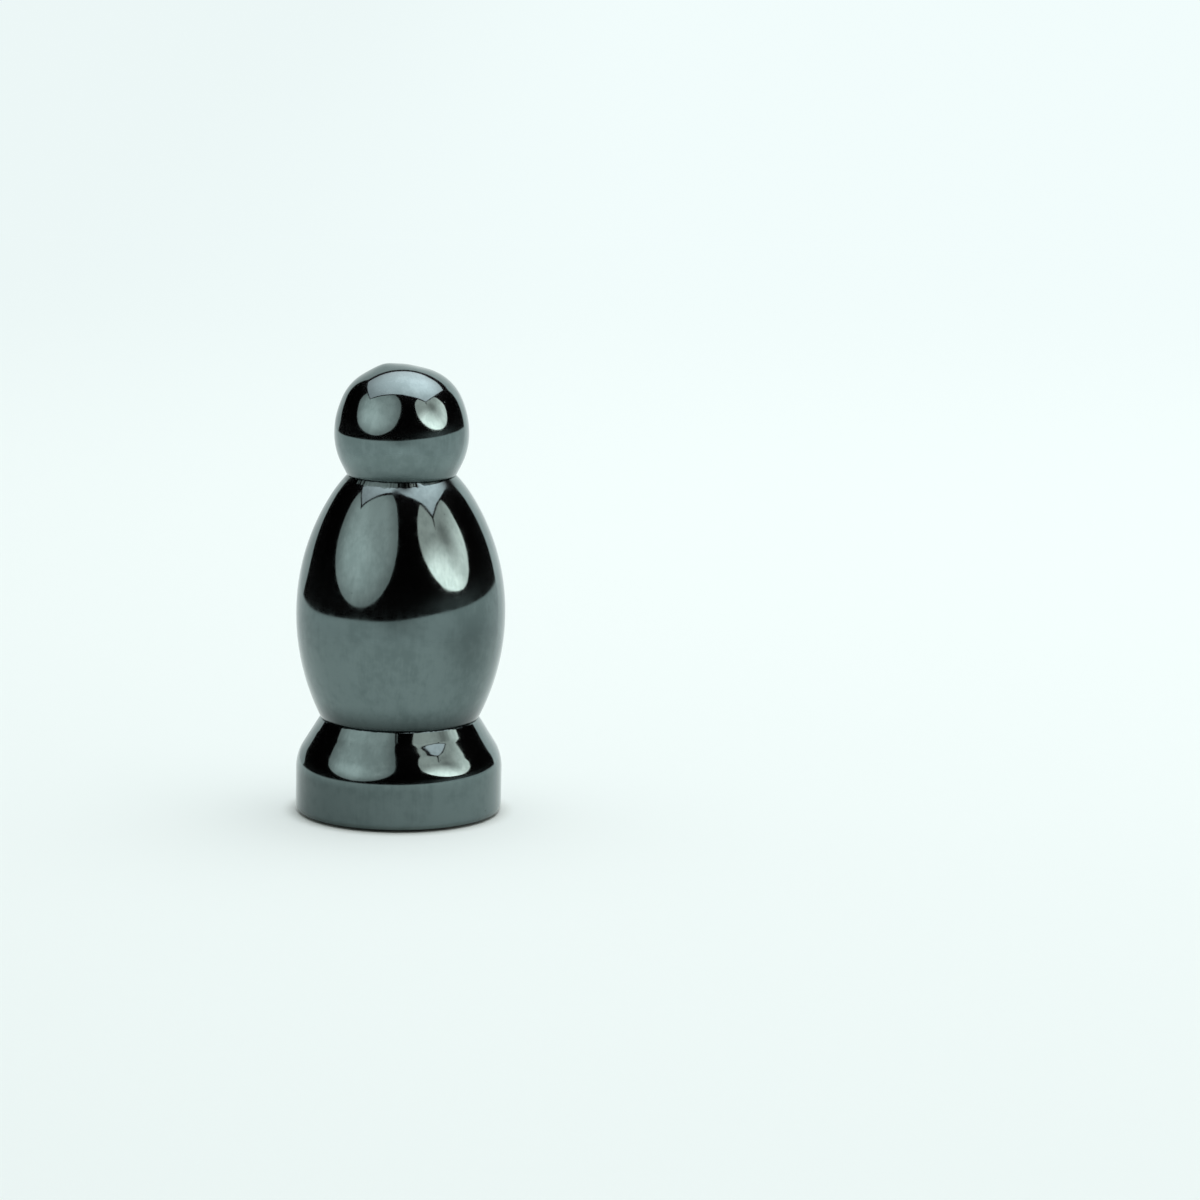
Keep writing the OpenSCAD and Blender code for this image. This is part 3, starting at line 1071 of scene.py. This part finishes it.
# %% Grinding on the head
CROWN_LOW = 0.04
CROWN_LOW_UP = (29.5, 31.5)
CROWN_LOW_RIGHT = (-0.5, 2.0)
RIDGE_X = -1.3
RIDGE_HIGH = 0.125
RIDGE_WIDE_LEFT = 0.85
RIDGE_WIDE_RIGHT = 0.7
FLAT_X = 1.3
FLAT_DEEP = 0.095
FLAT_WIDE = 1.0
FADE_FRONT = (-1.6, 0.3)
FADE_BACK = (2.6, 4.4)
FADE_UP = (30.5, 32.0)
HEAD_MIDDLE = 3.0
SKIRT_HIGH = 0.7
SKIRT_SLOPE = 0.13


def touch_crown(grid):
    """Move points out from the middle by (ridge(x) - flat(x)) * fade - low."""
    arm = grid - np.array([0, 0, neck_z + HEAD_MIDDLE])
    length = np.linalg.norm(arm, axis=-1, keepdims=True)
    x, y, z = np.moveaxis(grid, -1, 0)
    wide = np.where(x < RIDGE_X, RIDGE_WIDE_LEFT, RIDGE_WIDE_RIGHT)
    ridge = RIDGE_HIGH * np.exp(-((x - RIDGE_X) / wide) ** 2)
    flat = FLAT_DEEP * np.exp(-((x - FLAT_X) / FLAT_WIDE) ** 2)
    fade = smooth_step(*FADE_FRONT, y) * (1 - smooth_step(*FADE_BACK, y)) * smooth_step(*FADE_UP, z)
    low = CROWN_LOW * smooth_step(*CROWN_LOW_UP, z) * (1 - smooth_step(*CROWN_LOW_RIGHT, x))
    return grid + ((ridge - flat) * fade - low)[..., None] * arm / np.maximum(length, 1e-9)


def skirt(z):
    """Outward offset in mm low on the head, where it was ground less deep than a ball."""
    return SKIRT_SLOPE * np.clip(neck_z + SKIRT_HIGH - z, 0, None) ** 2 / SKIRT_HIGH


# %% Head stone
# Painted shade: the head is darker just above the neck crease
NECK_SHADE = 0.36
NECK_SHADE_HIGH = 1.6


def head_dull_and_shade(grid):
    """Painted shade, with a rougher polish, just above the neck."""
    return NECK_SHADE * (1 - smooth_step(neck_z, neck_z + NECK_SHADE_HIGH, grid[..., 2]))


def make_head_stone():
    """Blind pin hole, seat, worn rim and side up to the crown, carried round the axis."""
    side = spread_rows(head_side(), True, False)
    hole_high = neck_z + HEAD_HOLE_DEPTH
    bore = [[0, hole_high], [PIN_HOLE_R, hole_high], [PIN_HOLE_R, neck_z + HOLE_MOUTH]]
    rows = np.concatenate([bore, seat_rows(NECK_R, neck_z, False), side])
    rows[-1, 0] = 0
    grid, angle, z = lathe_rings(rows)
    skin = np.arange(len(rows)) >= len(rows) - len(side)
    gentler = skin[:, None] * np.clip(rows[:, :1] / head_r, 0, 1) ** 2
    swell(grid, rows, gentler * lapping(angle, z, 5, 0.003))
    push = wear_rim(grid, rows, angle, (NECK_R, neck_z), 1, seed=10, reach=0.03,
                    steady=0.012, torn=0.003, chips=30, chip_depth=0.04)
    grid[skin] = touch_crown(grid[skin])
    swell(grid, rows, skin[:, None] * skirt(z))
    return close_stone("head_stone", grid, False, push, head_dull_and_shade)


head_stone = make_head_stone()

# %% [markdown]
# The stone is an iron ore that takes a metal's polish: it mirrors about a sixth of
# the light, a little more of the green and blue than of the red, and nothing comes
# from inside it. So its finish is a metallic one with a dark base colour. The grain
# is a group that all three stones share: wide clouds, a finer mottle, grit, upright
# streaks from the lap, and sparse dark pits. Each stone reads it at a place of its
# own, as each was cut from another lump. A thin film of wax lies over it as a coat,
# which puts a faint haze round the brightest reflections.

# %% Stone grain group
def stone_grain_group():
    """Clouds, mottle, grit, streaks and pits from a place, as masks from 0 to 1."""
    group = bpy.data.node_groups.new("stone_grain", "ShaderNodeTree")
    group.interface.new_socket("Vector", in_out="INPUT", socket_type="NodeSocketVector")
    net = NodeNet(group)
    place = net.nodes.new("NodeGroupInput").outputs["Vector"]
    upright = net.add("Mapping", {"Vector": place, "Scale": (1, 1, 0.06)})
    cells = net.add("TexVoronoi", {"Vector": place, "Scale": 900})
    size = net.ramp(net.parts(cells.outputs["Color"])["X"], 0.55, 1.0, 0.0, 0.055)
    inside = net.math("SUBTRACT", size, cells.outputs["Distance"])
    masks = {
        "Clouds": net.noise(place, 240, 2),
        "Mottle": net.noise(place, 1500, 4),
        "Grit": net.noise(place, 7000, 2),
        "Streaks": net.noise(upright, 6000, 2),
        "Pits": net.ramp(inside, -0.01, 0.03),
    }
    for name in masks:
        group.interface.new_socket(name, in_out="OUTPUT", socket_type="NodeSocketFloat")
    end = net.nodes.new("NodeGroupOutput")
    for name, mask in masks.items():
        net.feed(end.inputs[name], mask)
    return group


# %% Stone finish
STONE_DARK = (0.127, 0.169, 0.167)
STONE_LIGHT = (0.160, 0.208, 0.206)
PIT_COLOUR = (0.045, 0.06, 0.06)
RIM_COLOUR = (0.05, 0.065, 0.065)
BLACK = (0.0, 0.0, 0.0)
GRAIN_DEPTH = 0.0006 * MM
WAX_WEIGHT = 0.1
WAX_ROUGHNESS = 0.35
LUMPS = (("foot_stone", (0.021, 0.004, 0.013), 1.0),
         ("barrel_stone", (0.002, 0.033, 0.007), 1.0),
         ("head_stone", (0.011, 0.017, 0.029), 1.06))


def show_metal(net, inputs, height, depth):
    """Output a metallic surface, whose bump stands up by height * depth."""
    bump = net.add("Bump", {"Strength": 1.0, "Distance": depth, "Height": height})
    net.show(net.add("BsdfPrincipled", {"Metallic": 1.0, "Normal": bump, **inputs}))


def stone_finish(name, offset, gain, group):
    """Metallic polish: base colour and roughness from the grain, a very shallow bump."""
    material, net = new_material(name)
    place = net.add("TexCoord").outputs["Object"]
    moved = net.add("Mapping", {"Vector": place, "Location": offset})
    clouds, mottle, grit, streaks, pits = net.add("Group", {"Vector": moved}, node_tree=group).outputs
    worn = net.add("Attribute", attribute_name="wear").outputs["Fac"]
    dull = net.add("Attribute", attribute_name="dull").outputs["Fac"]
    # Base colour: clouds, mottle and streaks, then pits, worn rims, and dull places with painted shade,
    # darkened towards black
    tone = net.plus(net.times(clouds, 0.5), net.times(mottle, 0.35), net.times(streaks, 0.15))
    dark, light = (tuple(gain * value for value in colour) for colour in (STONE_DARK, STONE_LIGHT))
    pitted = net.mix(pits, net.mix(net.ramp(tone, 0.4, 0.6), dark, light), PIT_COLOUR)
    edge = net.ramp(worn, 0.015, 0.05)
    rimmed = net.mix(net.times(edge, 0.5), pitted, RIM_COLOUR)
    # Roughness: the polish varies with the mottle, and goes in pits and at worn rims
    rough = net.ramp(mottle, 0.35, 0.7, 0.05, 0.09)
    for mask, amount in ((pits, 0.3), (edge, 0.25), (dull, 0.12)):
        rough = net.math("MULTIPLY_ADD", mask, amount, rough)
    # Height: mottle, grit and streaks stand up, pits go down
    height = net.plus(mottle, net.times(grit, 0.25), net.times(streaks, 0.4), net.times(pits, -4.0))
    # Painted shade: the lost polish value darkens the base colour towards black
    show_metal(net, {"Base Color": net.mix(dull, rimmed, BLACK), "Roughness": rough,
                     "Coat Weight": WAX_WEIGHT, "Coat Roughness": WAX_ROUGHNESS}, height, GRAIN_DEPTH)
    return material


grain_group = stone_grain_group()
for name, offset, gain in LUMPS:
    finish = stone_finish(name + "_polish", offset, gain, grain_group)
    bpy.data.objects[name].data.materials.append(finish)
    print("finish on", name)

# %% [markdown]
# The pin is never seen, but it is there, and it would show if the pawn came apart.
# It is bright drawn steel, with fine lines round it from the centreless grinder.
# The construction's own piece is right as it is, so it only gets the finish.

# %% Steel pin
STEEL_DARK = (0.50, 0.50, 0.49)
STEEL_LIGHT = (0.62, 0.62, 0.61)
LINE_DEPTH = 0.001 * MM


def pin_steel():
    """Steel whose roughness and height follow fine rings along its length."""
    material, net = new_material("pin_steel_ground")
    place = net.add("TexCoord").outputs["Object"]
    lines = net.noise(net.add("Mapping", {"Vector": place, "Scale": (150, 150, 9000)}), 1.0, 3)
    show_metal(net, {"Base Color": net.mix(lines, STEEL_DARK, STEEL_LIGHT),
                     "Roughness": net.ramp(lines, 0.3, 0.7, 0.22, 0.38)}, lines, LINE_DEPTH)
    return material


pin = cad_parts["core_pin"]
pin.data.materials.clear()
pin.data.materials.append(pin_steel())
print("finish on", pin.name)

# %% [markdown]
# Last, each stone is tied to the frame: it rides on the pawn's one body, and the
# construction node that it stands for is hidden.

# %% Tie to the frame
for stone, node in ((foot_stone, "foot"), (barrel_stone, "barrel"), (head_stone, "head")):
    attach(stone, "root")
    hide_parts(node)
